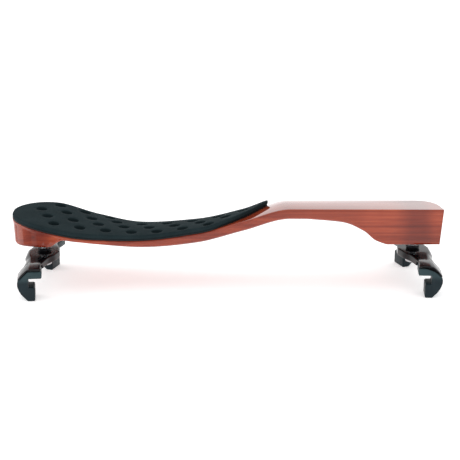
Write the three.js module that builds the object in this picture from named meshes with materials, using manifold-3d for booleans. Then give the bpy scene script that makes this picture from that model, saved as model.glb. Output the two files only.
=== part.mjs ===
// Violin shoulder rest: a carved, S-curved wooden bar with a perforated pad on its wide chest end and a
// swivelling two-pronged fork under each end, whose rubber-booted claws grip the edges of the violin.
//
// Millimetres, +Z up. X runs along the bar from the pad end (-X) to the shoulder end (+X), and Y across it
// from the near edge (-Y) to the far edge (+Y). The claws stand on z = 0.

import * as THREE from "three";
import { mergeVertices } from "three/addons/utils/BufferGeometryUtils.js";
import Module from "manifold-3d";

const wasm = await Module();
wasm.setup();

// ---------------------------------------------------------------- driving dimensions

const GAP = 0.3; // clearance kept between pieces that touch on the real object

const LEFT_END = -114.5; // the round tip of the pad end
const RIGHT_END = 112.3; // the tip of the shoulder end
const SEAT_DIP = -47; // where the pad's seat is lowest
const SHOULDER = 33; // where the shoulder end turns level
const SHOULDER_NEAR = 44.1; // height of the shoulder end's near and far edges
const SHOULDER_FAR = 39.2;
const ARCH = 42; // the highest place of the underside
const LEFT_FOOT = [-93, -85]; // the left block's underside runs up to the bar between these
const RIGHT_FOOT = 83; // where the arch reaches the right block
const BLOCK_BOTTOM = 25; // the flat underside of both end blocks
const EDGE_ROUND = 1.3; // rounding of the bar's long edges
const UNDER_ROUND = 3.2; // rounding of the lower edges between the blocks
const LEFT_DRAFT = 0.3; // how far the pad end's wall leans in, per millimetre of height
const RIGHT_DRAFT = 0.09;
const BLOCK_SQUARENESS = 5; // superellipse power of the pad end's underside in plan

const PAD_BACKING = 0.5;
const PAD_FOAM = 2;
const PAD_INSET = 0.5; // the pad stops this far inside the bar's edge
const PAD_NOSE = 22.6; // X of the pad's narrow end
const HOLE_RADIUS = 2.9;
const HOLE_PITCH = 13.5; // along the bar
const HOLE_ROW = 10.9; // between rows at the wide end
const HOLE_SKEW = 4.4; // how far each row starts before the one nearer
const HOLE_ORIGIN = [-95.4, -2.4]; // the first hole of row 0
const holeRows = [[-1, 0, 6], [0, 0, 7], [1, 0, 8], [2, 1, 3]]; // row, first hole, last hole

const LEFT_STUD = [-97.2, -6]; // the stud axes in plan
const RIGHT_STUD = [98.9, -1];
const SPARE_PITCH = 9.5; // from the right stud to the spare insert for a narrower violin
const LEFT_TURN = 6; // degrees that each fork is swung round its stud at rest
const RIGHT_TURN = 9;

const STUD_RADIUS = 1.95;
const STUD_TOP = 29.2;
const THREAD_BORE = 2.2;
const INSERT_RADIUS = 3.2;
const INSERT_LENGTH = 5.2;

const HUB_TOP = 18;
const HUB_BOTTOM = 14.2;
const HUB_BORE = 3.5;
const CLAW_OFFSET = 25.5; // from the stud axis to the middle of each claw, along the fork
const CLAW_SPLAY = 12; // degrees that each claw turns out, to follow the violin's outline
const CLAW_WIDTH = 10.5;
const CLAW_LINE = 3.3; // how far outward of the stud axis the claws are set
const HOOK_WIDTH = 6.5;
const ARM_END = 18.6; // along the fork, where its arm meets the claw
const TAB_START = 19.2; // the arm goes on as a thin tab from here
const TAB_END = 23;
const SEAT = 12; // height of the face that bears on the violin's back
const JAW_TOP = 7.4;
const BOOT_TOP = 15.8;
const CLAW_TOP = 17.4; // top of the fork's plate over each boot

// ---------------------------------------------------------------- curves and solids

// A smooth curve through [x, value] points that never overshoots them.
function curve(points) {
  const slope = points.slice(1).map((p, i) => (p[1] - points[i][1]) / (p[0] - points[i][0]));
  const tangent = points.map((_, i) => {
    if (i === 0) return slope[0];
    if (i === points.length - 1) return slope[i - 1];
    const [a, b] = [slope[i - 1], slope[i]];
    return a * b <= 0 ? 0 : (2 * a * b) / (a + b);
  });
  return (x) => {
    if (x <= points[0][0]) return points[0][1];
    if (x >= points.at(-1)[0]) return points.at(-1)[1];
    const i = points.findIndex((p) => p[0] > x) - 1;
    const span = points[i + 1][0] - points[i][0];
    const t = (x - points[i][0]) / span;
    const [t2, t3] = [t * t, t * t * t];
    return (
      points[i][1] * (2 * t3 - 3 * t2 + 1) +
      tangent[i] * span * (t3 - 2 * t2 + t) +
      points[i + 1][1] * (3 * t2 - 2 * t3) +
      tangent[i + 1] * span * (t3 - t2)
    );
  };
}

// A closed surface through rings of points, with a fan from the middle of each end ring.
function loft(rings) {
  const count = rings[0].length;
  const vertices = rings.flat();
  const middle = (ring) => ring.reduce((sum, p) => sum.add(p), new THREE.Vector3()).divideScalar(count);
  const first = vertices.push(middle(rings[0])) - 1;
  const last = vertices.push(middle(rings.at(-1))) - 1;
  const faces = [];
  for (let r = 0; r + 1 < rings.length; r++) {
    for (let i = 0; i < count; i++) {
      const j = (i + 1) % count;
      const [a, b, c, d] = [r * count + i, r * count + j, (r + 1) * count + j, (r + 1) * count + i];
      faces.push(a, b, c, a, c, d);
    }
  }
  const end = (rings.length - 1) * count;
  for (let i = 0; i < count; i++) {
    const j = (i + 1) % count;
    faces.push(first, j, i, last, end + i, end + j);
  }
  const geometry = new THREE.BufferGeometry().setFromPoints(vertices);
  geometry.setIndex(faces);
  return geometry;
}

// three.js geometry to a manifold-3d solid, and back.
function solid(geometry) {
  const bare = new THREE.BufferGeometry().setAttribute("position", geometry.getAttribute("position"));
  if (geometry.index) bare.setIndex(geometry.index);
  const merged = mergeVertices(bare, 1e-4);
  const triVerts = new Uint32Array(merged.index.array);
  const vertProperties = new Float32Array(merged.attributes.position.array);
  const made = new wasm.Manifold(new wasm.Mesh({ numProp: 3, vertProperties, triVerts }));
  if (made.volume() >= 0) return made;
  for (let i = 0; i < triVerts.length; i += 3) {
    [triVerts[i + 1], triVerts[i + 2]] = [triVerts[i + 2], triVerts[i + 1]];
  }
  return new wasm.Manifold(new wasm.Mesh({ numProp: 3, vertProperties, triVerts }));
}

function geometryOf(manifold) {
  const { vertProperties, triVerts, numProp } = manifold.getMesh();
  const points = [];
  for (let i = 0; i < vertProperties.length; i += numProp) {
    points.push(new THREE.Vector3(...vertProperties.subarray(i, i + 3)));
  }
  const geometry = new THREE.BufferGeometry().setFromPoints(points);
  geometry.setIndex([...triVerts]);
  return geometry;
}

// A solid of revolution about Z through [radius, z] points, closed on itself or on the axis.
function turned(profile, segments = 32) {
  const points = profile.map(([radius, z]) => new THREE.Vector2(radius, z));
  return solid(new THREE.LatheGeometry([...points, points[0]], segments).rotateX(Math.PI / 2));
}

function tube(inner, outer, bottom, top, segments) {
  return turned([[inner, bottom], [outer, bottom], [outer, top], [inner, top]], segments);
}

function rod(radius, bottom, top, segments) {
  return tube(0, radius, bottom, top, segments);
}

// ---------------------------------------------------------------- the bar's shape

// Places along the bar where its top changes slope: [x, height of the near edge, height of the far edge].
const topPlaces = [
  [LEFT_END, 34.6, 35.1],
  [-92, 31.5, 32.8],
  [-70, 28.3, 26.9],
  [SEAT_DIP, 27, 23.7],
  [-16, 30.6, 26],
  [8, 37.4, 31.5],
  [SHOULDER, SHOULDER_NEAR, SHOULDER_FAR],
  [RIGHT_END, SHOULDER_NEAR, SHOULDER_FAR],
];
const nearTop = curve(topPlaces.map(([x, near]) => [x, near]));
const farTop = curve(topPlaces.map(([x, , far]) => [x, far]));

// Between the blocks the underside follows the top at the bar's thickness.
// At its two feet it comes down to the blocks.
const nearThickness = curve([[-75, 1.8], [SEAT_DIP, 3.2], [-16, 4.6], [ARCH, 5.2]]);
const farThickness = curve([[-75, 3.5], [ARCH, 4]]);
const archFall = curve([[ARCH, 0], [60, 0.14], [71.5, 0.5], [77, 0.83], [RIGHT_FOOT, 1]]);

function underside(x, bar) {
  const share = Math.max(1 - THREE.MathUtils.smoothstep(x, ...LEFT_FOOT), archFall(x));
  return bar + (BLOCK_BOTTOM - bar) * share;
}

const nearBottom = (x) => underside(x, nearTop(x) - nearThickness(x));
const farBottom = (x) => underside(x, farTop(x) - farThickness(x));

const crown = curve([[LEFT_END, 0], [SEAT_DIP, 1.4], [10, 1], [RIGHT_END, 0]]);
const belly = curve([[-90, 0], [SEAT_DIP, 1.6], [30, 1.4], [80, 0]]);
const underRound = curve([[-86, EDGE_ROUND], [-68, UNDER_ROUND], [60, UNDER_ROUND], [78, EDGE_ROUND]]);
const nearSide = curve([[-80, -24], [-38, -19.2], [-10, -18.5], [SHOULDER, -19.4], [RIGHT_END, -19.4]]);
const farSide = curve([[-90, 25], [-74, 23.6], [-37, 17.2], [7, 16], [SHOULDER, 17], [RIGHT_END, 17]]);

// The share of the full width left at x, where an end closes as a superellipse.
function closing(x, centre, tip, power) {
  const along = (x - centre) / (tip - centre);
  return along <= 0 ? 1 : (1 - Math.min(1, along) ** power) ** (1 / power);
}

// The Y of the near and far edges at x, in plan. The bottom of the pad end is squarer than its top.
function edges(x, power = 2) {
  const near = nearSide(x) * closing(x, -80, LEFT_END, power);
  const far = farSide(x) * closing(x, -90, LEFT_END, power);
  const rounded = x > 98 ? closing(x, 98, RIGHT_END, 3) : 1;
  return [near, near + Math.max((far - near) * rounded, 3)];
}

function topHeight(x, t) {
  return nearTop(x) * (1 - t) + farTop(x) * t + crown(x) * 4 * t * (1 - t);
}

function bottomHeight(x, t) {
  return nearBottom(x) * (1 - t) + farBottom(x) * t - belly(x) * 4 * t * (1 - t);
}

// Height of the bar's top at any point in plan, measured across its full width.
function barTop(x, y) {
  const [near, far] = [nearSide(x), farSide(x)];
  return topHeight(x, THREE.MathUtils.clamp((y - near) / (far - near), 0, 1));
}

// Stations along x that crowd towards both ends.
function stations(from, to, count) {
  return Array.from({ length: count + 1 }, (_, i) => {
    const even = i / count;
    const crowded = (1 - Math.cos(Math.PI * even)) / 2;
    return from + (to - from) * (0.45 * even + 0.55 * crowded);
  });
}

// Points across a section from one edge to the other, with how far each is set back by the edge rounding.
function acrossSection([near, far], across, corner, inset, height) {
  const width = far - near;
  const reach = Math.min(inset, width * 0.3);
  const depth = Math.min(height, width * 0.3);
  const turns = Array.from({ length: corner + 1 }, (_, i) => ((Math.PI / 2) * i) / corner);
  const edge = turns.map((turn) => [reach * (1 - Math.cos(turn)), depth * (1 - Math.sin(turn))]);
  const step = (width - 2 * reach) / across;
  const inner = Array.from({ length: across - 1 }, (_, i) => [reach + step * (i + 1), 0]);
  const other = edge.map(([offset, setBack]) => [width - offset, setBack]).reverse();
  return [...edge, ...inner, ...other].map(([offset, setBack]) => [near + offset, setBack]);
}

// One closed section of the bar. The end walls lean in, so its lower points slide towards the middle.
function barRing(x, across = 8, corner = 2) {
  const place = ([y, setBack], top) => {
    const t = (y - nearSide(x)) / (farSide(x) - nearSide(x));
    const z = top ? topHeight(x, t) - setBack : bottomHeight(x, t) + setBack;
    const low = topHeight(x, t) - z;
    const leftLean = LEFT_DRAFT * low * THREE.MathUtils.smoothstep(-x, 85, 114);
    const rightLean = RIGHT_DRAFT * low * THREE.MathUtils.smoothstep(x, 98, 112);
    return new THREE.Vector3(x + leftLean - rightLean, y, z);
  };
  const thickness = Math.min(nearTop(x) - nearBottom(x), farTop(x) - farBottom(x));
  const rise = Math.min(underRound(x), 0.45 * thickness);
  const top = acrossSection(edges(x), across, corner, EDGE_ROUND, EDGE_ROUND);
  const bottom = acrossSection(edges(x, BLOCK_SQUARENESS), across, corner + 2, underRound(x), rise);
  return [...top.map((p) => place(p, true)), ...bottom.map((p) => place(p, false)).reverse()];
}

const insertPlaces = {
  left_insert: LEFT_STUD,
  right_insert: RIGHT_STUD,
  right_spare_insert: [RIGHT_STUD[0] - SPARE_PITCH, RIGHT_STUD[1]],
};

function woodenBar() {
  let bar = solid(loft(stations(LEFT_END, RIGHT_END, 52).map((x) => barRing(x))));
  for (const [x, y] of Object.values(insertPlaces)) {
    const ceiling = BLOCK_BOTTOM + INSERT_LENGTH + 2 * GAP;
    bar = bar.subtract(rod(INSERT_RADIUS + GAP, BLOCK_BOTTOM - 1, ceiling, 24).translate([x, y, 0]));
  }
  return bar;
}

// ---------------------------------------------------------------- the pad

// The pad's near and far edges in plan: it follows the bar, then narrows to a nose near the far edge.
const padNear = curve([[-8, 0], [4, 5.2], [11, 12], [16, 18.5], [20, 24.5], [22.6, 29.5]]);
const padFar = curve([[10, 0], [17, 0.8], [20.5, 2.4], [22.6, 5]]);

function padRing(x, low, high) {
  const [near, far] = edges(x);
  const from = near + PAD_INSET + padNear(x);
  const to = Math.max(far - PAD_INSET - padFar(x), from + 0.8);
  const across = 8;
  const row = (height) =>
    Array.from({ length: across + 1 }, (_, i) => {
      const y = from + ((to - from) * i) / across;
      return new THREE.Vector3(x, y, barTop(x, y) + height);
    });
  return [...row(high), ...row(low).reverse()];
}

function padLayer(low, high) {
  return solid(loft(stations(LEFT_END + PAD_INSET, PAD_NOSE, 34).map((x) => padRing(x, low, high))));
}

// Skewed rows of round holes that close up and drift nearer as the pad narrows.
function holePlaces() {
  return holeRows.flatMap(([row, first, last]) =>
    Array.from({ length: last - first + 1 }, (_, i) => {
      const x = HOLE_ORIGIN[0] + (first + i) * HOLE_PITCH - row * HOLE_SKEW;
      return [x, HOLE_ORIGIN[1] + row * HOLE_ROW - 0.04 * (1 + row) * (x - HOLE_ORIGIN[0])];
    }),
  );
}

function foamPad() {
  const low = PAD_BACKING + 2 * GAP;
  let foam = padLayer(low, low + PAD_FOAM);
  for (const [x, y] of holePlaces()) {
    foam = foam.subtract(rod(HOLE_RADIUS, 15, 50, 14).translate([x, y, 0]));
  }
  return foam;
}

// ---------------------------------------------------------------- a clamp
// Clamp pieces are modelled about the stud axis, with +X outward and a claw at each end along Y.

function studBody() {
  return rod(STUD_RADIUS, 12.6, STUD_TOP).add(rod(3.6, 10.6, 12.9)).subtract(rod(1.5, 9, 11.8, 6));
}

function bush() {
  return tube(THREAD_BORE, HUB_BORE - GAP, 13.3, HUB_TOP + 0.4).add(tube(THREAD_BORE, 4.8, 13.2, 13.9));
}

function retainingCollar() {
  return tube(THREAD_BORE, 3.7, HUB_TOP + 0.7, HUB_TOP + 1.7);
}

// A thin hexagonal nut.
function lockNut() {
  return rod(4.05, 22.8, BLOCK_BOTTOM - GAP, 6).subtract(rod(THREAD_BORE, 20, 28));
}

function insert() {
  return tube(THREAD_BORE, INSERT_RADIUS, BLOCK_BOTTOM, BLOCK_BOTTOM + INSERT_LENGTH, 24);
}

// The fork's bar in cross-section, at a distance y along it: a flat top and a sloping outer flank.
// Past the arms it thins to a tab that runs out into the plate over each boot.
const armStations = [0, 2, 4, 6, 8, 10.5, 13, 15.5, ARM_END, TAB_START, TAB_END];
const topOuter = curve([[0, 7.8], [6, 6.8], [12, 4.5], [ARM_END, 3], [TAB_END, 2.2]]);
const footOuter = curve([[0, 10], [6, 9.4], [12, 7.7], [ARM_END, 7.4], [TAB_START, 4.9], [TAB_END, 4]]);
const innerSide = curve([[0, -8.2], [6, -7], [12, -4.5], [ARM_END, -3.2], [TAB_END, -2.6]]);
const topLevel = curve([[0, HUB_TOP], [8, HUB_TOP], [ARM_END, CLAW_TOP]]);
const bottomLevel = curve([
  [0, HUB_BOTTOM], [8, HUB_BOTTOM], [ARM_END, 13.9], [TAB_START, BOOT_TOP + GAP], [TAB_END, BOOT_TOP + GAP],
]);

function forkRing(y) {
  const along = Math.abs(y);
  const [inner, outer, foot] = [innerSide(along), topOuter(along), footOuter(along)];
  const [top, bottom] = [topLevel(along), bottomLevel(along)];
  const outline = [
    [inner + 0.4, bottom], [foot - 0.7, bottom], [foot, bottom + 0.8], [outer + 0.7, top - 0.5],
    [outer - 0.6, top], [inner + 0.7, top], [inner, top - 0.7], [inner, bottom + 0.5],
  ];
  return outline.map(([x, z]) => new THREE.Vector3(x, y, z));
}

// A shape in the claw's own plane (outward, up), drawn out across the claw and set on the fork.
// side is -1 for the near claw and +1 for the far one.
function acrossClaw(points, width, side) {
  const shape = new THREE.Shape(points.map(([x, z]) => new THREE.Vector2(x, z)));
  const drawn = new THREE.ExtrudeGeometry(shape, { depth: width, bevelEnabled: false })
    .translate(0, 0, -width / 2)
    .rotateX(Math.PI / 2)
    .translate(CLAW_LINE, 0, 0)
    .rotateZ(THREE.MathUtils.degToRad(side * CLAW_SPLAY))
    .translate(0, side * CLAW_OFFSET, 0);
  return solid(drawn);
}

function along(path, steps) {
  return new THREE.CatmullRomCurve3(path.map(([x, z]) => new THREE.Vector3(x, z, 0)), false, "centripetal")
    .getSpacedPoints(steps)
    .map((p) => [p.x, p.y]);
}

// The C-shaped outline of a rubber boot, with the violin's edge entering from -X.
function bootOutline() {
  const back = along([[0.2, 0], [3.4, 3.4], [5.2, 7], [5.5, 9.6], [5, 11.3]], 10);
  const top = [[4.2, 11.5], [-0.1, BOOT_TOP], [-6.5, BOOT_TOP], [-7.2, BOOT_TOP - 0.7]];
  const lip = [[-7.2, SEAT + 0.7], [-6.5, SEAT], [-0.7, SEAT]];
  const slot = [[-0.2, SEAT - 0.5], [-0.2, JAW_TOP + 0.4], [-0.6, JAW_TOP]];
  const jaw = [[-2.9, JAW_TOP], [-3.6, JAW_TOP - 0.8], [-3.6, 0.6], [-3, 0]];
  return [...back, ...top, ...lip, ...slot, ...jaw];
}

// The fork's plate over a boot: flat on top, then sloping down the boot's outer side.
function plateOutline() {
  const outer = along([[-1.2, CLAW_TOP], [0.9, 16.5], [3.4, 14.2], [5.3, 11.7]], 8);
  const under = BOOT_TOP + GAP;
  return [...outer, [4.5, 11.7], [0.3, under], [-6.9, under], [-6.9, CLAW_TOP - 0.4], [-6.5, CLAW_TOP]];
}

// The fork's hook: a strip that curls down from the plate inside the boot, behind the slot.
function hookOutline(clearance) {
  const half = 1 + clearance;
  const path = along([[2.8, 13.4], [3, 11.2], [2.8, 8.6], [2, 5.6], [0.3, 3.2]], 10);
  const edge = (sign) =>
    path.map(([x, z], i) => {
      const [a, b] = [path[Math.max(0, i - 1)], path[Math.min(path.length - 1, i + 1)]];
      const length = Math.hypot(b[0] - a[0], b[1] - a[1]);
      const [ux, uz] = [(b[0] - a[0]) / length, (b[1] - a[1]) / length];
      const end = i === path.length - 1 ? clearance : 0;
      return [x + ux * end - uz * half * sign, z + uz * end + ux * half * sign];
    });
  return [...edge(1), ...edge(-1).reverse()];
}

function hook(side, clearance) {
  return acrossClaw(hookOutline(clearance), HOOK_WIDTH + 2 * clearance, side);
}

function fork() {
  const places = [...armStations.slice(1).map((y) => -y).reverse(), ...armStations];
  let made = solid(loft(places.map(forkRing))).subtract(rod(HUB_BORE, 10, 25));
  for (const side of [-1, 1]) {
    made = made.add(acrossClaw(plateOutline(), CLAW_WIDTH, side)).add(hook(side, 0));
  }
  return made;
}

function boot(side) {
  return acrossClaw(bootOutline(), CLAW_WIDTH, side).subtract(hook(side, GAP));
}

// ---------------------------------------------------------------- materials and assembly

function finish(color, roughness, metalness = 0) {
  return new THREE.MeshStandardMaterial({ color, roughness, metalness });
}

const materials = {
  wood: finish(0x944d3c, 0.25),
  foam: finish(0x343e43, 0.85),
  backing: finish(0x16191b, 0.7),
  plastic: finish(0x15181b, 0.2),
  rubber: finish(0x2a353a, 0.6),
  steel: finish(0xc9cccf, 0.2, 1),
  blackSteel: finish(0x1c1d20, 0.35, 1),
  brass: finish(0xb08d4a, 0.3, 1),
};

function named(name, manifold, material) {
  const mesh = new THREE.Mesh(geometryOf(manifold), material);
  mesh.name = name;
  return mesh;
}

// A whole clamp on its stud axis. The left one is the mirror image of the right one.
function clamp(side, [x, y], turn) {
  const mirrored = side === "left";
  const group = new THREE.Group();
  const add = (name, manifold, material) =>
    group.add(named(`${side}_${name}`, mirrored ? manifold.mirror([1, 0, 0]) : manifold, material));
  add("fork", fork(), materials.plastic);
  add("near_boot", boot(-1), materials.rubber);
  add("far_boot", boot(1), materials.rubber);
  add("stud", studBody(), materials.steel);
  add("bush", bush(), materials.blackSteel);
  add("retaining_collar", retainingCollar(), materials.blackSteel);
  add("lock_nut", lockNut(), materials.blackSteel);
  group.rotation.z = THREE.MathUtils.degToRad(mirrored ? -turn : turn);
  group.position.set(x, y, 0);
  return group;
}

const rest = new THREE.Group();
rest.add(
  named("wooden_bar", woodenBar(), materials.wood),
  named("pad_backing", padLayer(GAP, GAP + PAD_BACKING), materials.backing),
  named("foam_pad", foamPad(), materials.foam),
  clamp("left", LEFT_STUD, LEFT_TURN),
  clamp("right", RIGHT_STUD, RIGHT_TURN),
);
for (const [name, [x, y]] of Object.entries(insertPlaces)) {
  rest.add(named(name, insert().translate([x, y, 0]), materials.brass));
}

// The frame's origin is under the middle of the whole object.
const middle = new THREE.Box3().setFromObject(rest, true).getCenter(new THREE.Vector3());
rest.position.set(-middle.x, -middle.y, 0);

export default rest;
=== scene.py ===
import math

import bmesh
import bpy
import numpy as np
from mathutils import Matrix, Vector
from mathutils.geometry import delaunay_2d_cdt


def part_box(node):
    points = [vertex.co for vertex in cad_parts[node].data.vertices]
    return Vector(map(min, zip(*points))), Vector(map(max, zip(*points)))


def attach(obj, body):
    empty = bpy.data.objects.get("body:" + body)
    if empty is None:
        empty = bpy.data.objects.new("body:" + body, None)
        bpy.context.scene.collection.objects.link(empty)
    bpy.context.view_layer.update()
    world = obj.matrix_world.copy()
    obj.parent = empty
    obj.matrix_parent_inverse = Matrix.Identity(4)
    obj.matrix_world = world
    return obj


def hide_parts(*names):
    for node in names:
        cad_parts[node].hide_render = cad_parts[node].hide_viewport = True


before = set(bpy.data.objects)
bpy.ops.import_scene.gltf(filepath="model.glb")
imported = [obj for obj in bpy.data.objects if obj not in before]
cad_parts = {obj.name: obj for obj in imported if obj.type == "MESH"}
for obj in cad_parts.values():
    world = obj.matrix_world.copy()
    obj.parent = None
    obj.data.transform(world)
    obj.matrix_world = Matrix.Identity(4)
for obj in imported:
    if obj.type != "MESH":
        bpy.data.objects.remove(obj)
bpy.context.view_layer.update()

# Shapes are worked out in millimetres, in the CAD source's own plan, and moved into the row frame at the end.
MM = 0.001
GAP = 0.3  # clearance between pieces that touch on the real object

# The bar: X of its tips and of the places that shape it, then heights and rounding.
LEFT_END, RIGHT_END = -114.5, 112.3
SEAT_DIP, SHOULDER, ARCH = -47, 33, 42
LEFT_FOOT, RIGHT_FOOT = (-93, -85), 83
SHOULDER_NEAR, SHOULDER_FAR = 44.1, 39.2
BLOCK_BOTTOM = 25
BLOCK_SQUARENESS = 5  # superellipse power of the pad end's underside in plan
EDGE_ROUND, UNDER_ROUND = 1.3, 3.2
LEFT_DRAFT, RIGHT_DRAFT = 0.3, 0.09  # how far each end leans in, per millimetre of height

PAD_BACKING, PAD_FOAM, PAD_INSET, PAD_NOSE = 0.5, 2.0, 0.5, 22.6
FILM_BOTTOM, FILM_TOP = 0.4 * GAP, PAD_BACKING + GAP
FOAM_BOTTOM = PAD_BACKING + 2 * GAP
FOAM_ROUND, FILM_ROUND = 0.7, 0.05  # rounding of each layer's upper edge
FILM_INSET = 0.25
HOLE_RADIUS, HOLE_PITCH, HOLE_ROW, HOLE_SKEW = 2.9, 13.5, 10.9, 4.4
HOLE_FLARE = 0.3  # how much wider a hole is at the pad's surface
HOLE_ORIGIN = (-95.4, -2.4)
HOLE_ROWS = ((-1, 0, 6), (0, 0, 7), (1, 0, 8), (2, 1, 3))  # row, first hole, last hole

LEFT_STUD, RIGHT_STUD = (-97.2, -6.0), (98.9, -1.0)
SPARE_PITCH = 9.5
INSERTS = {
    "left_insert": LEFT_STUD,
    "right_insert": RIGHT_STUD,
    "right_spare_insert": (RIGHT_STUD[0] - SPARE_PITCH, RIGHT_STUD[1]),
}
TURN = {"left": -6.0, "right": 9.0}  # degrees that each fork is swung round its stud at rest
INSERT_RADIUS, INSERT_LENGTH = 3.2, 5.2
INSERT_TOP = BLOCK_BOTTOM + INSERT_LENGTH
THREAD_BORE = 2.2

STUD_TOP = 29.2
THREAD_PITCH, THREAD_CORE, THREAD_DEPTH = 0.7, 1.6, 0.35
THREAD_BOTTOM = 13.4
HEAD_BOTTOM, HEAD_TOP, HEAD_RADIUS = 10.6, 12.9, 3.6
RECESS_RADIUS, RECESS_DEPTH = 1.5, 1.2
NUT_BOTTOM, NUT_CORNER = 22.8, 4.05
FLANGE_RADIUS, FLANGE_BOTTOM, FLANGE_TOP = 4.8, 13.2, 13.9

HUB_TOP, HUB_BOTTOM, HUB_BORE = 18.0, 14.2, 3.5
COLLAR_RADIUS, COLLAR_BOTTOM, COLLAR_TOP = 3.7, HUB_TOP + 0.7, HUB_TOP + 1.7
CLAW_OFFSET, CLAW_SPLAY, CLAW_WIDTH, CLAW_LINE, HOOK_WIDTH = 25.5, 12.0, 10.5, 3.3, 6.5
ARM_END, TAB_START, TAB_END = 18.6, 19.2, 23.0
SEAT, JAW_TOP, BOOT_TOP, CLAW_TOP = 12.0, 7.4, 15.8, 17.4
PLATE_BOTTOM = BOOT_TOP + GAP

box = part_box("left_stud")
SHIFT = Vector(((box[0][0] + box[1][0]) / 2, (box[0][1] + box[1][1]) / 2, 0)) - Vector((*LEFT_STUD, 0)) * MM


# ---------------------------------------------------------------- curves and meshes


def curve(points):
    """A smooth curve through (x, value) points that never overshoots them."""
    xs, ys = zip(*points)
    slope = [(ys[i + 1] - ys[i]) / (xs[i + 1] - xs[i]) for i in range(len(xs) - 1)]
    tangent = [slope[0]]
    for a, b in zip(slope, slope[1:]):
        tangent.append(0 if a * b <= 0 else 2 * a * b / (a + b))
    tangent.append(slope[-1])

    def at(x):
        if x <= xs[0]:
            return ys[0]
        if x >= xs[-1]:
            return ys[-1]
        i = max(k for k in range(len(xs)) if xs[k] <= x)
        span = xs[i + 1] - xs[i]
        t = (x - xs[i]) / span
        return (
            ys[i] * (2 * t**3 - 3 * t**2 + 1)
            + tangent[i] * span * (t**3 - 2 * t**2 + t)
            + ys[i + 1] * (3 * t**2 - 2 * t**3)
            + tangent[i + 1] * span * (t**3 - t**2)
        )

    return at


def smoothstep(x, low, high):
    t = min(1, max(0, (x - low) / (high - low)))
    return t * t * (3 - 2 * t)


def stations(start, end, count):
    """Positions along x that crowd towards both ends."""
    even = np.linspace(0, 1, count + 1)
    return start + (end - start) * (0.45 * even + 0.55 * (1 - np.cos(np.pi * even)) / 2)


def shade(bm, sharp):
    """Smooth shading, with edges steeper than the sharp angle left crisp."""
    for face in bm.faces:
        face.smooth = True
    for edge in bm.edges:
        edge.smooth = len(edge.link_faces) != 2 or edge.calc_face_angle(0) < math.radians(sharp)


def make_object(name, bm, material, matrix=None, sharp=35):
    """A bmesh becomes an object, still in millimetres."""
    bmesh.ops.remove_doubles(bm, verts=bm.verts, dist=1e-4)
    bmesh.ops.recalc_face_normals(bm, faces=bm.faces)
    if matrix is not None:
        bm.transform(matrix)
    if bm.calc_volume(signed=True) < 0:
        bmesh.ops.reverse_faces(bm, faces=bm.faces)
    shade(bm, sharp)
    mesh = bpy.data.meshes.new(name)
    bm.to_mesh(mesh)
    bm.free()
    obj = bpy.data.objects.new(name, mesh)
    bpy.context.collection.objects.link(obj)
    if material:
        mesh.materials.append(material)
    return obj


def loft(bm, rings):
    """Closed surface through rings of points, with a fan in each end."""
    grid = [[bm.verts.new(p) for p in ring] for ring in rings]
    count = len(rings[0])
    for a, b in zip(grid, grid[1:]):
        for i in range(count):
            j = (i + 1) % count
            bm.faces.new((a[i], a[j], b[j], b[i]))
    for ring in (grid[0], grid[-1]):
        middle = bm.verts.new(sum((v.co for v in ring), Vector()) / count)
        for i in range(count):
            bm.faces.new((middle, ring[i], ring[(i + 1) % count]))


def lathe(bm, profile, segments=64):
    """Solid of revolution about Z through (radius, z) points that close on themselves or on the axis."""
    rows = []
    for radius, z in profile:
        if radius < 1e-6:
            rows.append([bm.verts.new((0, 0, z))])
            continue
        turns = [2 * math.pi * i / segments for i in range(segments)]
        rows.append([bm.verts.new((radius * math.cos(t), radius * math.sin(t), z)) for t in turns])
    for a, b in zip(rows, rows[1:] + rows[:1]):
        for i in range(segments):
            j = (i + 1) % segments
            corners = [a[i % len(a)], a[j % len(a)], b[j % len(b)], b[i % len(b)]]
            corners = list(dict.fromkeys(corners))
            if len(corners) >= 3:
                bm.faces.new(corners)


def chamfered(inner, outer, bottom, top, c):
    """Profile of a ring with small chamfers."""
    low = [(inner, bottom + c / 2), (inner + c / 2, bottom)]
    outside = [(outer - c, bottom), (outer, bottom + c), (outer, top - c), (outer - c, top)]
    high = [(inner + c / 2, top), (inner, top - c / 2)]
    return low + outside + high


def cut(obj, tool, operation="DIFFERENCE"):
    """Boolean, applied at once. The tool is deleted."""
    step = obj.modifiers.new("cut", "BOOLEAN")
    step.operation, step.object, step.solver = operation, tool, "MANIFOLD"
    apply_modifiers(obj)
    bpy.data.objects.remove(tool, do_unlink=True)
    return obj


def apply_modifiers(obj):
    bpy.context.view_layer.update()
    made = bpy.data.meshes.new_from_object(obj.evaluated_get(bpy.context.evaluated_depsgraph_get()))
    obj.modifiers.clear()
    obj.data = made
    bm = bmesh.new()
    bm.from_mesh(made)
    shade(bm, 35)
    bm.to_mesh(made)
    bm.free()
    return obj


def rod(radius, low, high):
    return [(0, low), (radius, low), (radius, high), (0, high)]


def turned_tool(profile, matrix, segments=64):
    bm = bmesh.new()
    lathe(bm, profile, segments)
    return make_object("tool", bm, None, matrix)


# ---------------------------------------------------------------- the bar's shape

# Places along the bar where its top changes slope: x, height of the near edge, height of the far edge.
TOP_PLACES = (
    (LEFT_END, 34.6, 35.1),
    (-92, 31.5, 32.8),
    (-70, 28.3, 26.9),
    (SEAT_DIP, 27, 23.7),
    (-16, 30.6, 26),
    (8, 37.4, 31.5),
    (SHOULDER, SHOULDER_NEAR, SHOULDER_FAR),
    (RIGHT_END, SHOULDER_NEAR, SHOULDER_FAR),
)
near_top = curve([(x, near) for x, near, _ in TOP_PLACES])
far_top = curve([(x, far) for x, _, far in TOP_PLACES])

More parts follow.
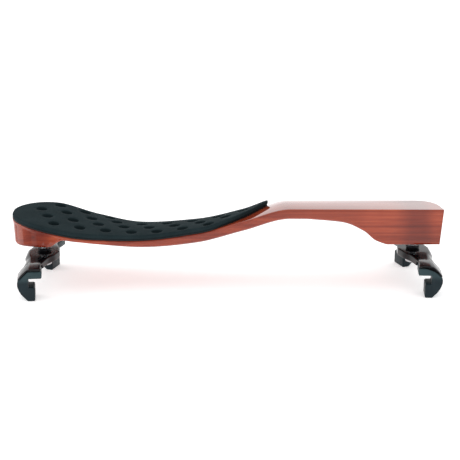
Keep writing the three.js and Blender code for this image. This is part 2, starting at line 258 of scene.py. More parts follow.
# Between the blocks the underside follows the top at the bar's thickness.
# At its two feet it comes down to the blocks.
near_thickness = curve(((-75, 1.8), (SEAT_DIP, 3.2), (-16, 4.6), (ARCH, 5.2)))
far_thickness = curve(((-75, 3.5), (ARCH, 4)))
arch_fall = curve(((ARCH, 0), (60, 0.14), (71.5, 0.5), (77, 0.83), (RIGHT_FOOT, 1)))


def underside(x, bar):
    part = max(1 - smoothstep(x, *LEFT_FOOT), arch_fall(x))
    return bar + (BLOCK_BOTTOM - bar) * part


def near_bottom(x):
    return underside(x, near_top(x) - near_thickness(x))


def far_bottom(x):
    return underside(x, far_top(x) - far_thickness(x))


crown = curve(((LEFT_END, 0), (SEAT_DIP, 1.4), (10, 1), (RIGHT_END, 0)))
belly = curve(((-90, 0), (SEAT_DIP, 1.6), (30, 1.4), (80, 0)))
under_round = curve(((-86, EDGE_ROUND), (-68, UNDER_ROUND), (60, UNDER_ROUND), (78, EDGE_ROUND)))
near_side = curve(((-80, -24), (-38, -19.2), (-10, -18.5), (SHOULDER, -19.4), (RIGHT_END, -19.4)))
far_side = curve(((-90, 25), (-74, 23.6), (-37, 17.2), (7, 16), (SHOULDER, 17), (RIGHT_END, 17)))


def closing(x, centre, tip, power):
    """The share of the full width left at x, where an end closes as a superellipse."""
    along = (x - centre) / (tip - centre)
    return 1 if along <= 0 else (1 - min(1, along) ** power) ** (1 / power)


def edges(x, power=2):
    """The Y of the near and far edges at x. The bottom of the pad end is squarer than its top."""
    near = near_side(x) * closing(x, -80, LEFT_END, power)
    far = far_side(x) * closing(x, -90, LEFT_END, power)
    rounded = closing(x, 98, RIGHT_END, 3) if x > 98 else 1
    return near, near + max((far - near) * rounded, 3)


def top_height(x, t):
    return near_top(x) * (1 - t) + far_top(x) * t + crown(x) * 4 * t * (1 - t)


def bottom_height(x, t):
    return near_bottom(x) * (1 - t) + far_bottom(x) * t - belly(x) * 4 * t * (1 - t)


def share(x, y):
    """How far across the bar's full width a point lies, from 0 at the near edge to 1 at the far one."""
    near, far = near_side(x), far_side(x)
    return (y - near) / (far - near)


def bar_top(x, y):
    return top_height(x, min(1, max(0, share(x, y))))


def across_section(near, far, across, corner, inset, height):
    """Points across a section, with how far each is set back by the rounding of the edges."""
    width = far - near
    reach, depth = min(inset, width * 0.3), min(height, width * 0.3)
    turns = [math.pi / 2 * i / corner for i in range(corner + 1)]
    edge = [(reach * (1 - math.cos(t)), depth * (1 - math.sin(t))) for t in turns]
    inner = [(reach + (width - 2 * reach) * (i + 1) / across, 0) for i in range(across - 1)]
    other = [(width - offset, back) for offset, back in reversed(edge)]
    return [(near + offset, back) for offset, back in edge + inner + other]


def bar_ring(x, across=36, corner=7):
    """One closed section of the bar. The end walls lean in, so its lower points slide towards the middle."""

    def place(point, top):
        y, back = point
        t = share(x, y)
        z = top_height(x, t) - back if top else bottom_height(x, t) + back
        low = top_height(x, t) - z
        lean = LEFT_DRAFT * low * smoothstep(-x, 85, 114) - RIGHT_DRAFT * low * smoothstep(x, 98, 112)
        return Vector((x + lean, y, z))

    thickness = min(near_top(x) - near_bottom(x), far_top(x) - far_bottom(x))
    under = under_round(x)
    top = across_section(*edges(x), across, corner, EDGE_ROUND, EDGE_ROUND)
    bottom = across_section(*edges(x, BLOCK_SQUARENESS), across, corner, under, min(under, 0.45 * thickness))
    return [place(p, True) for p in top] + [place(p, False) for p in bottom][::-1]


def wooden_bar(material):
    bm = bmesh.new()
    loft(bm, [bar_ring(x) for x in stations(LEFT_END, RIGHT_END, 240)])
    bar = make_object("bar_wood", bm, material, sharp=50)
    bore = rod(INSERT_RADIUS + GAP, BLOCK_BOTTOM - 1, INSERT_TOP + 2 * GAP)
    for place in INSERTS.values():
        cut(bar, turned_tool(bore, Matrix.Translation((*place, 0))))
    return bar


# ---------------------------------------------------------------- the pad

pad_near = curve(((-8, 0), (4, 5.2), (11, 12), (16, 18.5), (20, 24.5), (22.6, 29.5)))
pad_far = curve(((10, 0), (17, 0.8), (20.5, 2.4), (22.6, 5)))


def pad_outline(inset):
    """The pad's edge in plan, counter-clockwise, with even spacing and softened corners."""
    narrowest, points, softening = 2.8, 420, 6
    near_row, far_row = [], []
    for x in stations(LEFT_END + PAD_INSET, PAD_NOSE, 150):
        near, far = edges(x)
        start, end = near + PAD_INSET + pad_near(x), far - PAD_INSET - pad_far(x)
        if x > 0 and end - start < narrowest:
            break
        near_row.append((x, start))
        far_row.append((x, max(end, start + 0.8)))
    ring = np.array(near_row + far_row[::-1])
    closed = np.vstack([ring, ring[:1]])
    step = np.linalg.norm(np.diff(closed, axis=0), axis=1)
    at = np.concatenate([[0], np.cumsum(step)])
    even = np.linspace(0, at[-1], points, endpoint=False)
    ring = np.stack([np.interp(even, at, closed[:, k]) for k in (0, 1)], axis=1)
    for _ in range(softening):
        ring = (np.roll(ring, 1, 0) + 2 * ring + np.roll(ring, -1, 0)) / 4
    along = np.roll(ring, -1, 0) - np.roll(ring, 1, 0)
    along /= np.linalg.norm(along, axis=1)[:, None]
    return ring + inset * np.stack([-along[:, 1], along[:, 0]], axis=1)


def hole_places():
    """Skewed rows of holes that close up and drift nearer as the pad narrows."""
    places = []
    for row, first, last in HOLE_ROWS:
        for column in range(first, last + 1):
            x = HOLE_ORIGIN[0] + column * HOLE_PITCH - row * HOLE_SKEW
            drift = 0.04 * (1 + row) * (x - HOLE_ORIGIN[0])
            places.append((x, HOLE_ORIGIN[1] + row * HOLE_ROW - drift))
    return places


def circle(x, y, radius, count=36):
    turn = np.linspace(0, 2 * math.pi, count, endpoint=False)
    return np.stack([x + radius * np.cos(turn), y + radius * np.sin(turn)], axis=1)


def inside(points, ring):
    """Which points lie inside a closed ring, by crossings."""
    found = np.zeros(len(points), bool)
    for (x0, y0), (x1, y1) in zip(ring, np.roll(ring, -1, 0)):
        crosses = (y0 > points[:, 1]) != (y1 > points[:, 1])
        with np.errstate(divide="ignore", invalid="ignore"):
            found ^= crosses & (points[:, 0] < (x1 - x0) * (points[:, 1] - y0) / (y1 - y0) + x0)
    return found


def sheet_faces(rings, spacing=2.6):
    """Triangles over the area inside rings[0] and outside the rest, with points on a grid between them."""
    points = np.vstack(rings)
    loops, start = [], 0
    for ring in rings:
        loops += [(start + i, start + (i + 1) % len(ring)) for i in range(len(ring))]
        start += len(ring)
    low, high = rings[0].min(0), rings[0].max(0)
    columns, rows = (np.arange(low[k], high[k], spacing) for k in (0, 1))
    grid = np.stack(np.meshgrid(columns, rows), -1).reshape(-1, 2)
    away = np.min(np.linalg.norm(grid[:, None] - points[None], axis=2), axis=1) > 0.45 * spacing
    grid = grid[away & inside(grid, rings[0])]
    for ring in rings[1:]:
        grid = grid[np.linalg.norm(grid - ring.mean(0), axis=1) > np.linalg.norm(ring[0] - ring.mean(0))]
    points = np.vstack([points, grid])
    out = delaunay_2d_cdt([Vector(p) for p in points], loops, [], 0, 1e-6, True)
    found = np.array([v[:] for v in out[0]])
    faces = np.array([f[:] for f in out[2]])
    middles = found[faces].mean(1)
    keep = inside(middles, rings[0])
    for ring in rings[1:]:
        keep &= ~inside(middles, ring)
    return found, faces[keep]


def pad_layer(name, low, high, material, rounding, holes, inset=0.0):
    """A layer of even thickness on the bar, with rounded upper edges round its outline and its holes."""
    bm = bmesh.new()
    turns = [math.pi / 2 * i / 4 for i in range(5)]
    levels = [(rounding * (1 - math.sin(t)), high - rounding * (1 - math.cos(t))) for t in turns[::-1]]
    levels = [(0, low)] + levels
    top_rings = [pad_outline(inset + rounding)] + [circle(*p, HOLE_RADIUS + HOLE_FLARE) for p in holes]
    low_rings = [pad_outline(inset)] + [circle(*p, HOLE_RADIUS) for p in holes]

    def lifted(point, height):
        return bm.verts.new((point[0], point[1], bar_top(*point) + height))

    for rings, height in ((top_rings, high), (low_rings, low)):
        points, faces = sheet_faces(rings)
        verts = [lifted(p, height) for p in points]
        for face in faces:
            bm.faces.new([verts[i] for i in face])
    walls = [[pad_outline(inset + d) for d, _ in levels]]
    for place in holes:
        walls.append([circle(*place, HOLE_RADIUS + HOLE_FLARE * d / rounding) for d, _ in levels])
    for wall in walls:
        rows = [[lifted(p, height) for p in ring] for ring, (_, height) in zip(wall, levels)]
        for a, b in zip(rows, rows[1:]):
            for i in range(len(a)):
                j = (i + 1) % len(a)
                bm.faces.new((a[i], a[j], b[j], b[i]))
    return make_object(name, bm, material, sharp=60)


# ---------------------------------------------------------------- a clamp
# Clamp pieces are built about the stud axis, with +X outward and a claw at each end along Y.

top_outer = curve(((0, 7.8), (6, 6.8), (12, 4.5), (ARM_END, 3), (TAB_END, 2.2)))
foot_outer = curve(((0, 10), (6, 9.4), (12, 7.7), (ARM_END, 7.4), (TAB_START, 4.9), (TAB_END, 4)))
inner_side = curve(((0, -8.2), (6, -7), (12, -4.5), (ARM_END, -3.2), (TAB_END, -2.6)))
# The arm's end and its tab stop just inside the plate's own faces, so that the two join without a seam.
SUNK = 0.05
top_level = curve(((0, HUB_TOP), (8, HUB_TOP), (ARM_END, CLAW_TOP - SUNK)))
tab = ((TAB_START, PLATE_BOTTOM + SUNK), (TAB_END, PLATE_BOTTOM + SUNK))
bottom_level = curve(((0, HUB_BOTTOM), (8, HUB_BOTTOM), (ARM_END, 13.9), *tab))


def rounded(points, times=2):
    """Corner cutting: each closed outline point becomes two, nearer to its neighbours."""
    for _ in range(times):
        points = [
            (a[0] + (b[0] - a[0]) * s, a[1] + (b[1] - a[1]) * s)
            for a, b in zip(points, points[1:] + points[:1])
            for s in (0.25, 0.75)
        ]
    return points


def fork_ring(y):
    """The fork's bar in cross-section at y: a flat top and a sloping outer flank."""
    far = abs(y)
    inner, outer, foot = inner_side(far), top_outer(far), foot_outer(far)
    top, bottom = top_level(far), bottom_level(far)
    outline = [
        (inner + 0.3, bottom), (foot - 0.4, bottom), (foot, bottom + 0.6), (outer + 0.9, top - 0.3),
        (outer - 0.5, top), (inner + 0.5, top), (inner, top - 0.4), (inner, bottom + 0.3),
    ]
    return [Vector((x, y, z)) for x, z in rounded(outline)]


def path_through(points, steps):
    """Even points on a smooth path through the given ones."""
    points = np.array(points, float)
    controls = np.array([2 * points[0] - points[1], *points, 2 * points[-1] - points[-2]])
    dense = []
    for a, b, c, d in zip(controls, controls[1:], controls[2:], controls[3:]):
        square, cube = 2 * a - 5 * b + 4 * c - d, 3 * b - a - 3 * c + d
        for t in np.linspace(0, 1, 24, endpoint=False):
            dense.append(0.5 * (2 * b + (c - a) * t + square * t**2 + cube * t**3))
    dense = np.array([*dense, points[-1]])
    at = np.concatenate([[0], np.cumsum(np.linalg.norm(np.diff(dense, axis=0), axis=1))])
    even = np.linspace(0, at[-1], steps + 1)
    return [(np.interp(v, at, dense[:, 0]), np.interp(v, at, dense[:, 1])) for v in even]


def arc(x, z, radius, start, end, steps=5):
    turns = [math.radians(start + (end - start) * i / steps) for i in range(steps + 1)]
    return [(x + radius * math.cos(t), z + radius * math.sin(t)) for t in turns]


def across_claw(bm, outline, width, side):
    """An outline in the claw's own plane, drawn out across the claw and set on the fork."""
    turn = Matrix.Rotation(math.radians(side * CLAW_SPLAY), 4, "Z")
    place = Matrix.Translation((0, side * CLAW_OFFSET, 0)) @ turn @ Matrix.Translation((CLAW_LINE, 0, 0))
    rows = []
    for y in (-width / 2, width / 2):
        rows.append([bm.verts.new(place @ Vector((x, y, z))) for x, z in outline])
    count = len(outline)
    for i in range(count):
        j = (i + 1) % count
        bm.faces.new((rows[0][i], rows[0][j], rows[1][j], rows[1][i]))
    bm.faces.new(rows[0])
    bm.faces.new(rows[1][::-1])


def boot_outline():
    """The C-shaped outline of a rubber boot, with the violin's edge entering from -X."""
    back = path_through([(0.2, 0), (3.4, 3.4), (5.2, 7), (5.5, 9.6), (5, 11.3)], 32)
    top = [(4.6, 11.5), (4.2, 11.7), (0.3, BOOT_TOP - 0.35), (-0.1, BOOT_TOP - 0.05), (-0.6, BOOT_TOP)]
    lip = [*arc(-6.4, BOOT_TOP - 0.8, 0.8, 90, 180), *arc(-6.4, SEAT + 0.8, 0.8, 180, 270)]
    slot = [*arc(-0.7, SEAT - 0.5, 0.5, 90, 0), *arc(-0.7, JAW_TOP + 0.5, 0.5, 0, -90)]
    jaw = [*arc(-2.5, JAW_TOP - 1.1, 1.1, 90, 180), *arc(-2.9, 0.7, 0.7, 180, 270)]
    return back + top + lip + slot + jaw


def plate_outline():
    """The fork's plate over a boot: flat on top, then sloping down the boot's outer side."""
    outer = path_through([(-1.2, CLAW_TOP), (0.9, 16.5), (3.4, 14.2), (5.3, 11.7)], 16)
    under = [(4.5, 11.7), (0.3, PLATE_BOTTOM), (-6.9, PLATE_BOTTOM)]
    return [*outer, *under, (-6.9, CLAW_TOP - 0.4), (-6.5, CLAW_TOP)]


def hook_outline(clearance):
    """The fork's hook: a strip that curls down from the plate inside the boot, behind the slot."""
    half = 1 + clearance
    path = path_through([(2.8, 13.4), (3, 11.2), (2.8, 8.6), (2, 5.6), (0.3, 3.2)], 20)
    sides = {1: [], -1: []}
    for i, (x, z) in enumerate(path):
        a, b = path[max(0, i - 1)], path[min(len(path) - 1, i + 1)]
        length = math.hypot(b[0] - a[0], b[1] - a[1])
        ux, uz = (b[0] - a[0]) / length, (b[1] - a[1]) / length
        end = clearance if i == len(path) - 1 else 0
        for sign in sides:
            sides[sign].append((x + ux * end - uz * half * sign, z + uz * end + ux * half * sign))
    return sides[1] + sides[-1][::-1]


def claw_piece(name, outline, width, side, material, matrix, bevel=0.0):
    """An outline drawn out across a claw, with its sharp edges rounded."""
    bm = bmesh.new()
    across_claw(bm, outline, width, side)
    made = make_object(name, bm, material, matrix)
    if bevel:
        step = made.modifiers.new("edges", "BEVEL")
        step.limit_method, step.angle_limit = "ANGLE", math.radians(50)
        step.width, step.segments, step.use_clamp_overlap = bevel, 4, False
        apply_modifiers(made)
    return made


def boot(name, side, material, matrix):
    made = claw_piece(name, boot_outline(), CLAW_WIDTH, side, material, None, 0.6)
    cut(made, claw_piece("tool", hook_outline(GAP), HOOK_WIDTH + 2 * GAP, side, None, None))
    return placed(made, matrix)


def placed(obj, matrix):
    """Moves a finished piece, built about the origin, onto its stud axis."""
    obj.data.transform(matrix)
    if matrix.is_negative:
        obj.data.flip_normals()
    return obj


def fork(name, material, matrix):
    half = [*np.linspace(0, ARM_END, 30), TAB_START, *np.linspace(TAB_START, TAB_END, 4)[1:]]
    bm = bmesh.new()
    loft(bm, [fork_ring(y) for y in [-y for y in half[:0:-1]] + half])
    made = make_object(name, bm, material)
    cut(made, turned_tool(rod(HUB_BORE, 10, 25), None))
    for side in (-1, 1):
        cut(made, claw_piece("tool", plate_outline(), CLAW_WIDTH, side, None, None, 0.35), "UNION")
        cut(made, claw_piece("tool", hook_outline(0), HOOK_WIDTH, side, None, None), "UNION")
    return placed(made, matrix)


def thread_radius(z, turn, low, high):
    """Radius of the thread at a height and an angle. It fades out at both ends."""
    phase = (z / THREAD_PITCH - turn / (2 * math.pi)) % 1
    ridge = min(1, max(0, abs(2 * phase - 1) * 1.25 - 0.1))
    fade = min(1, (z - low) / THREAD_PITCH, (high - z) / THREAD_PITCH)
    return THREAD_CORE + THREAD_DEPTH * ridge * max(0, fade)


def stud(name, material, upright, hexagon):
    """A screw with a real helical thread and a round head with a hexagonal recess."""
    low, high, around = THREAD_BOTTOM, STUD_TOP - 0.5, 40
    rows = int((high - low) / (THREAD_PITCH / 8))
    grid = []
    for k in range(rows + 1):
        z = low + (high - low) * k / rows
        ring = []
        for i in range(around):
            turn = 2 * math.pi * i / around
            r = thread_radius(z, turn, low, high)
            ring.append(Vector((r * math.cos(turn), r * math.sin(turn), z)))
        grid.append(ring)
    grid.insert(0, [Vector((p.x, p.y, HEAD_TOP - 0.2)) for p in grid[0]])
    grid.append([Vector((p.x * 0.75, p.y * 0.75, STUD_TOP)) for p in grid[-1]])
    bm = bmesh.new()
    loft(bm, grid)
    made = make_object(name, bm, material, upright, sharp=70)
    lower = [(0, HEAD_BOTTOM), (HEAD_RADIUS - 0.3, HEAD_BOTTOM), (HEAD_RADIUS, HEAD_BOTTOM + 0.3)]
    upper = [(HEAD_RADIUS, HEAD_TOP - 0.3), (HEAD_RADIUS - 0.25, HEAD_TOP), (0, HEAD_TOP)]
    cut(made, turned_tool(lower + upper, upright), "UNION")
    return cut(made, turned_tool(rod(RECESS_RADIUS, 9, HEAD_BOTTOM + RECESS_DEPTH), hexagon, 6))


def hexagonal_nut(name, material, upright, hexagon):
    """A thin hexagonal nut with its corners turned down and a round bore."""
    low, high = NUT_BOTTOM, BLOCK_BOTTOM - GAP
    bm = bmesh.new()
    lathe(bm, rod(NUT_CORNER, low, high), 6)
    made = make_object(name, bm, material, hexagon)
    lower = [(0, low - 0.1), (3.5, low - 0.1), (4.1, low + 0.35)]
    upper = [(4.1, high - 0.35), (3.5, high + 0.1), (0, high + 0.1)]
    cut(made, turned_tool(lower + upper, upright), "INTERSECT")
    return cut(made, turned_tool(rod(THREAD_BORE, 20, 28), upright))


def ring_piece(name, material, matrix, first, *others):
    """A turned piece, with any further turned profiles joined to it."""
    bm = bmesh.new()
    lathe(bm, first, 96)
    made = make_object(name, bm, material, matrix)
    for profile in others:
        cut(made, turned_tool(profile, matrix, 96), "UNION")
    return made


# ---------------------------------------------------------------- materials


def srgb(*values):
    """8-bit screen colour to linear RGBA."""
    return (*[(v / 255 / 12.92) if v <= 10 else ((v / 255 + 0.055) / 1.055) ** 2.4 for v in values], 1)


class Look:
    """A principled material, with helpers that add noise to its colour, roughness and surface."""

    def __init__(self, name, color, roughness, metallic=0.0, coat=0.0, coat_roughness=0.05, specular=0.5):
        self.material = bpy.data.materials.new(name)
        self.material.use_nodes = True
        self.nodes = self.material.node_tree.nodes
        self.links = self.material.node_tree.links
        self.shader = self.nodes["Principled BSDF"]
        self.put("Base Color", color)
        self.put("Roughness", roughness)
        self.put("Metallic", metallic)
        self.put("Coat Weight", coat)
        self.put("Coat Roughness", coat_roughness)
        self.put("Specular IOR Level", specular)
        self.where = self.nodes.new("ShaderNodeTexCoord").outputs["Object"]

    def put(self, socket, value):
        self.shader.inputs[socket].default_value = value

    def stretched(self, scale):
        mapping = self.nodes.new("ShaderNodeMapping")
        mapping.inputs["Scale"].default_value = scale
        self.links.new(self.where, mapping.inputs["Vector"])
        return mapping.outputs["Vector"]

    def noise(self, scale, detail=4.0, roughness=0.55, distortion=0.0, stretch=(1, 1, 1)):
        node = self.nodes.new("ShaderNodeTexNoise")
        node.inputs["Scale"].default_value = scale
        node.inputs["Detail"].default_value = detail
        node.inputs["Roughness"].default_value = roughness
        node.inputs["Distortion"].default_value = distortion
        self.links.new(self.stretched(stretch), node.inputs["Vector"])
        return node.outputs["Fac"]

    def ramp(self, factor, *stops):
        node = self.nodes.new("ShaderNodeValToRGB")
        bar = node.color_ramp.elements
        while len(bar) < len(stops):
            bar.new(0.5)
        for element, (position, color) in zip(bar, stops):
            element.position = position
            element.color = color
        self.links.new(factor, node.inputs["Fac"])
        return node.outputs["Color"]

    def mix(self, factor, a, b, mode="MIX"):
        node = self.nodes.new("ShaderNodeMix")
        node.data_type, node.blend_type = "RGBA", mode
        for socket, value in (("Factor_Float", factor), ("A_Color", a), ("B_Color", b)):
            target = next(s for s in node.inputs if s.identifier == socket)
            if isinstance(value, bpy.types.NodeSocket):
                self.links.new(value, target)
            else:
                target.default_value = value
        return next(s for s in node.outputs if s.identifier == "Result_Color")

    def spread(self, factor, low, high):
        """A factor from 0 to 1, carried onto the range from low to high."""
        node = self.nodes.new("ShaderNodeMapRange")
        node.inputs["To Min"].default_value, node.inputs["To Max"].default_value = low, high
        self.links.new(factor, node.inputs["Value"])
        return node.outputs["Result"]

    def band(self, axis, start, end):
        """0 below start and 1 above end, along one of the object's own axes, in metres."""
        split = self.nodes.new("ShaderNodeSeparateXYZ")
        self.links.new(self.where, split.inputs["Vector"])
        node = self.nodes.new("ShaderNodeMapRange")
        node.interpolation_type = "SMOOTHSTEP"
        node.inputs["From Min"].default_value, node.inputs["From Max"].default_value = start, end
        self.links.new(split.outputs[axis], node.inputs["Value"])
        return node.outputs["Result"]

    def multiplied(self, a, b):
        node = self.nodes.new("ShaderNodeMath")
        node.operation = "MULTIPLY"
        self.links.new(a, node.inputs[0])
        self.links.new(b, node.inputs[1])
        return node.outputs["Value"]

    def color(self, socket):
        self.links.new(socket, self.shader.inputs["Base Color"])

    def roughness(self, factor, low, high):
        self.links.new(self.spread(factor, low, high), self.shader.inputs["Roughness"])

    def bump(self, factor, distance, strength):
        node = self.nodes.new("ShaderNodeBump")
        node.inputs["Distance"].default_value = distance
        node.inputs["Strength"].default_value = strength
        self.links.new(factor, node.inputs["Height"])
        self.links.new(node.outputs["Normal"], self.shader.inputs["Normal"])


def wood_look():
    look = Look("lacquered_wood", srgb(146, 78, 62), 0.42, coat=1.0, coat_roughness=0.03, specular=0.0)
    flow = look.noise(1, 3, 0.5, 0.0, (9, 45, 60))
    grain = look.noise(1, 9, 0.62, 0.6, (14, 420, 520))
    fine = look.noise(1, 6, 0.7, 0.2, (60, 2600, 3000))
    figure = look.noise(1, 2, 0.5, 0.6, (42, 12, 20))
    base = look.ramp(
        grain,
        (0.25, srgb(120, 40, 20)),
        (0.45, srgb(150, 58, 32)),
        (0.58, srgb(168, 72, 42)),
        (0.78, srgb(192, 98, 62)),
    )
    shade = look.ramp(flow, (0.3, srgb(200, 170, 160)), (0.65, srgb(255, 255, 255)))
    mixed = look.mix(0.6, base, shade, "MULTIPLY")
    cloud = look.ramp(figure, (0.36, srgb(188, 150, 132)), (0.62, srgb(255, 250, 245)))
    mixed = look.mix(0.35, mixed, cloud, "MULTIPLY")
    pores = look.ramp(fine, (0.3, srgb(120, 92, 84)), (0.46, srgb(255, 255, 255)))
    mixed = look.mix(0.25, mixed, pores, "MULTIPLY")
    # Darker figure in the wood over each stud: the X of its middle and half its width.
    for centre, half in ((RIGHT_STUD[0], 7), (LEFT_STUD[0] - 1, 6)):
        middle = SHIFT.x + centre * MM
        outer, inner = 1.6 * half * MM, 0.3 * half * MM
        rise = look.band("X", middle - outer, middle - inner)
        fall = look.band("X", middle + outer, middle + inner)
        patch = look.multiplied(look.multiplied(rise, fall), look.spread(flow, 0.35, 1.0))
        mixed = look.mix(patch, mixed, look.mix(1.0, mixed, srgb(178, 132, 118), "MULTIPLY"))
    look.color(mixed)
    look.roughness(grain, 0.34, 0.5)
    look.bump(fine, 0.00003, 0.3)
    return look.material


def foam_look():
    look = Look("pad_foam", srgb(32, 43, 46), 0.9, specular=0.05)
    cells = look.noise(3200, 3, 0.6)
    soft = look.noise(90, 4, 0.5)
    tone = look.ramp(soft, (0.25, srgb(29, 40, 43)), (0.75, srgb(38, 50, 53)))
    specks = look.ramp(cells, (0.35, srgb(190, 195, 200)), (0.6, srgb(255, 255, 255)))
    look.color(look.mix(0.5, tone, specks, "MULTIPLY"))
    look.roughness(cells, 0.7, 0.92)
    look.bump(cells, 0.00008, 0.6)
    return look.material


def backing_shadow_look():
    # Painted shadow: the backing is a real layer under the foam, but it is made near-black so that its edge
    # reads as a shadow line under the pad.
    look = Look("backing_painted_shadow", srgb(12, 18, 22), 0.6, specular=0.3)
    weave = look.noise(1400, 2, 0.5)
    look.color(look.ramp(weave, (0.3, srgb(8, 13, 17)), (0.7, srgb(17, 24, 28))))
    look.bump(weave, 0.00005, 0.4)
    return look.material


def plastic_look():
    look = Look("gloss_black", srgb(14, 14, 18), 0.12, specular=0.22)
    haze = look.noise(60, 4, 0.6)
    look.color(look.ramp(haze, (0.3, srgb(10, 10, 13)), (0.7, srgb(18, 17, 21))))
    look.roughness(haze, 0.08, 0.2)
    look.bump(look.noise(420, 3, 0.5), 0.00002, 0.25)
    return look.material


def rubber_look():
    look = Look("boot_rubber", srgb(28, 42, 47), 0.5, specular=0.2)
    cast = look.noise(180, 4, 0.55)
    tone = look.ramp(cast, (0.3, srgb(14, 28, 34)), (0.7, srgb(24, 39, 45)))
    upper_jaw_painted_light = look.ramp(cast, (0.3, srgb(40, 57, 61)), (0.7, srgb(50, 68, 72)))
    # Painted light: the upper jaw, above the slot, gets the lighter ramp in place of the lower one's tone,
    # standing in for the light that falls on it.
    look.color(look.mix(look.band("Z", 9 * MM, 12.5 * MM), tone, upper_jaw_painted_light))
    look.roughness(cast, 0.34, 0.52)
    look.bump(look.noise(2600, 2, 0.5), 0.00003, 0.4)
    return look.material


def metal_look(name, color, dark, roughness):
    look = Look(name, color, roughness, metallic=1.0)
    wear = look.noise(240, 5, 0.6)
    look.color(look.ramp(wear, (0.3, dark), (0.65, color)))
    look.roughness(wear, roughness * 0.7, roughness * 1.4)
    look.bump(look.noise(1800, 2, 0.5), 0.000015, 0.3)
    return look.material


wood = wood_look()
foam = foam_look()
film = backing_shadow_look()
plastic = plastic_look()
rubber = rubber_look()
steel = metal_look("bright_steel", srgb(205, 208, 210), srgb(165, 168, 172), 0.18)
black_steel = metal_look("black_oxide", srgb(62, 64, 69), srgb(38, 40, 44), 0.3)
brass = metal_look("turned_brass", srgb(196, 160, 92), srgb(150, 116, 60), 0.28)


# ---------------------------------------------------------------- the object


def keep(piece, node, body, slot):
    """Puts a finished piece in the row frame, in metres, in place of its CAD node."""
    piece.data.transform(Matrix.Translation(SHIFT) @ Matrix.Scale(MM, 4))
    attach(piece, body)
    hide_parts(node)
    return piece


def turned_at(place):
    return Matrix.Translation((*place, 0))


def clamp(side, place):
    """One clamp. The left one's fork and boots are the mirror image of the right one's."""
    upright = turned_at(place)
    mirror = Matrix.Scale(-1 if side == "left" else 1, 4, (1, 0, 0))
    matrix = upright @ Matrix.Rotation(math.radians(TURN[side]), 4, "Z") @ mirror
    hexagon = matrix @ Matrix.Rotation(math.radians(30), 4, "Z")
    keep(fork(f"{side}_fork_arm", plastic, matrix), f"{side}_fork", f"{side}_clamp", "plastic")
    keep(boot(f"{side}_near_grip", -1, rubber, matrix), f"{side}_near_boot", f"{side}_clamp", "rubber")
    keep(boot(f"{side}_far_grip", 1, rubber, matrix), f"{side}_far_boot", f"{side}_clamp", "rubber")
    keep(stud(f"{side}_screw_thread", steel, upright, hexagon), f"{side}_stud", f"{side}_screw", "steel")
    sleeve = chamfered(THREAD_BORE, HUB_BORE - GAP, FLANGE_BOTTOM + 0.1, HUB_TOP + 0.4, 0.2)
    flange = chamfered(THREAD_BORE, FLANGE_RADIUS, FLANGE_BOTTOM, FLANGE_TOP, 0.2)
    bush = ring_piece(f"{side}_bush_ring", black_steel, upright, sleeve, flange)
    keep(bush, f"{side}_bush", f"{side}_carrier", "black_steel")
    washer = chamfered(THREAD_BORE, COLLAR_RADIUS, COLLAR_BOTTOM, COLLAR_TOP, 0.25)
    collar = ring_piece(f"{side}_collar_ring", black_steel, upright, washer)
    keep(collar, f"{side}_retaining_collar", f"{side}_carrier", "black_steel")
    nut = hexagonal_nut(f"{side}_hexagonal_nut", black_steel, upright, hexagon)
    keep(nut, f"{side}_lock_nut", f"{side}_nut", "black_steel")


keep(wooden_bar(wood), "wooden_bar", "bar", "wood")
backing = pad_layer("pad_film", FILM_BOTTOM, FILM_TOP, film, FILM_ROUND, [], FILM_INSET)
keep(backing, "pad_backing", "bar", "backing")
pad = pad_layer("pad_foam", FOAM_BOTTOM, FOAM_BOTTOM + PAD_FOAM, foam, FOAM_ROUND, hole_places())
keep(pad, "foam_pad", "bar", "foam")

for name, place in INSERTS.items():
    sleeve = chamfered(THREAD_BORE, INSERT_RADIUS, BLOCK_BOTTOM, INSERT_TOP, 0.3)
    keep(ring_piece(f"{name}_brass", brass, turned_at(place), sleeve), name, "bar", "brass")

for side, place in (("left", LEFT_STUD), ("right", RIGHT_STUD)):
    clamp(side, place)


# ---------------------------------------------------------------- floor, light and camera

bpy.ops.mesh.primitive_plane_add(size=12, location=(0, 0, 0))
floor = bpy.context.object
floor.name = "floor"
paper = Look("pale_floor", (0.95, 0.95, 0.955, 1), 1.0, specular=0.0)
paper.put("Emission Color", (1, 1, 1, 1))
paper.put("Emission Strength", 0.4)
floor.data.materials.append(paper.material)

# The studio's light varies softly with direction: axis, start and end along it, and the brightness at each.
SKY_SLOPES = (("Y", -0.9, 0.1, 0.55, 1.2), ("Z", 0.15, 0.9, 1.0, 0.6))

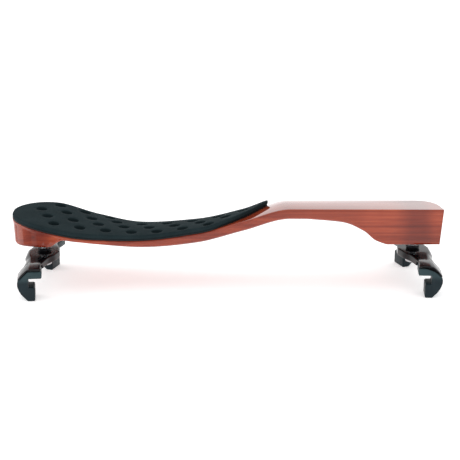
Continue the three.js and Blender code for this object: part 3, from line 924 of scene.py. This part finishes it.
world = bpy.data.worlds.new("studio")
bpy.context.scene.world = world
world.use_nodes = True
nodes, links = world.node_tree.nodes, world.node_tree.links
sky = nodes["Background"]
sky.inputs["Strength"].default_value = 1.0
split = nodes.new("ShaderNodeSeparateXYZ")
links.new(nodes.new("ShaderNodeTexCoord").outputs["Generated"], split.inputs["Vector"])
product = nodes.new("ShaderNodeMath")
product.operation = "MULTIPLY"
for index, (axis, start, end, low, high) in enumerate(SKY_SLOPES):
    fall = nodes.new("ShaderNodeMapRange")
    for socket, value in (("From Min", start), ("From Max", end), ("To Min", low), ("To Max", high)):
        fall.inputs[socket].default_value = value
    links.new(split.outputs[axis], fall.inputs["Value"])
    links.new(fall.outputs["Result"], product.inputs[index])
links.new(product.outputs["Value"], sky.inputs["Color"])


def panel(name, at, size, power):
    """A soft rectangular light, aimed at the middle of the object."""
    light = bpy.data.lights.new(name, "AREA")
    light.shape, light.size, light.size_y, light.energy = "RECTANGLE", size[0], size[1], power
    lamp = bpy.data.objects.new(name, light)
    bpy.context.collection.objects.link(lamp)
    lamp.location = at
    lamp.rotation_mode = "QUATERNION"
    lamp.rotation_quaternion = (Vector((0, 0, 0.03)) - Vector(at)).to_track_quat("-Z", "Y")


panel("top_panel", (0, 0, 1.6), (2.4, 2.0), 6)
panel("front_panel", (0.2, -1.5, 0.9), (2.4, 1.0), 9)
panel("left_panel", (-1.4, 0, 0.6), (1.2, 1.0), 5)

AIM = SHIFT + Vector((0, 0, 25 * MM))
RANGE, RISE = 0.8, math.radians(17)
VIEW_WIDTH = 245.64 * MM  # width of the picture at the aim
VIEW_OFFSET = (1.335 * MM, 2.275 * MM)  # from the aim to the middle of the picture
SENSOR = 36

camera_data = bpy.data.cameras.new("camera")
camera_data.sensor_width = SENSOR
camera_data.lens = SENSOR * RANGE / VIEW_WIDTH
camera_data.shift_x, camera_data.shift_y = (offset / VIEW_WIDTH for offset in VIEW_OFFSET)
camera_data.clip_start, camera_data.clip_end = 0.01, 30
camera = bpy.data.objects.new("camera", camera_data)
bpy.context.collection.objects.link(camera)
back = Vector((0, -math.cos(RISE), math.sin(RISE)))
camera.location = AIM + back * RANGE
camera.rotation_mode = "QUATERNION"
camera.rotation_quaternion = (-back).to_track_quat("-Z", "Y")
bpy.context.scene.camera = camera
bpy.context.scene.view_settings.view_transform = "Standard"
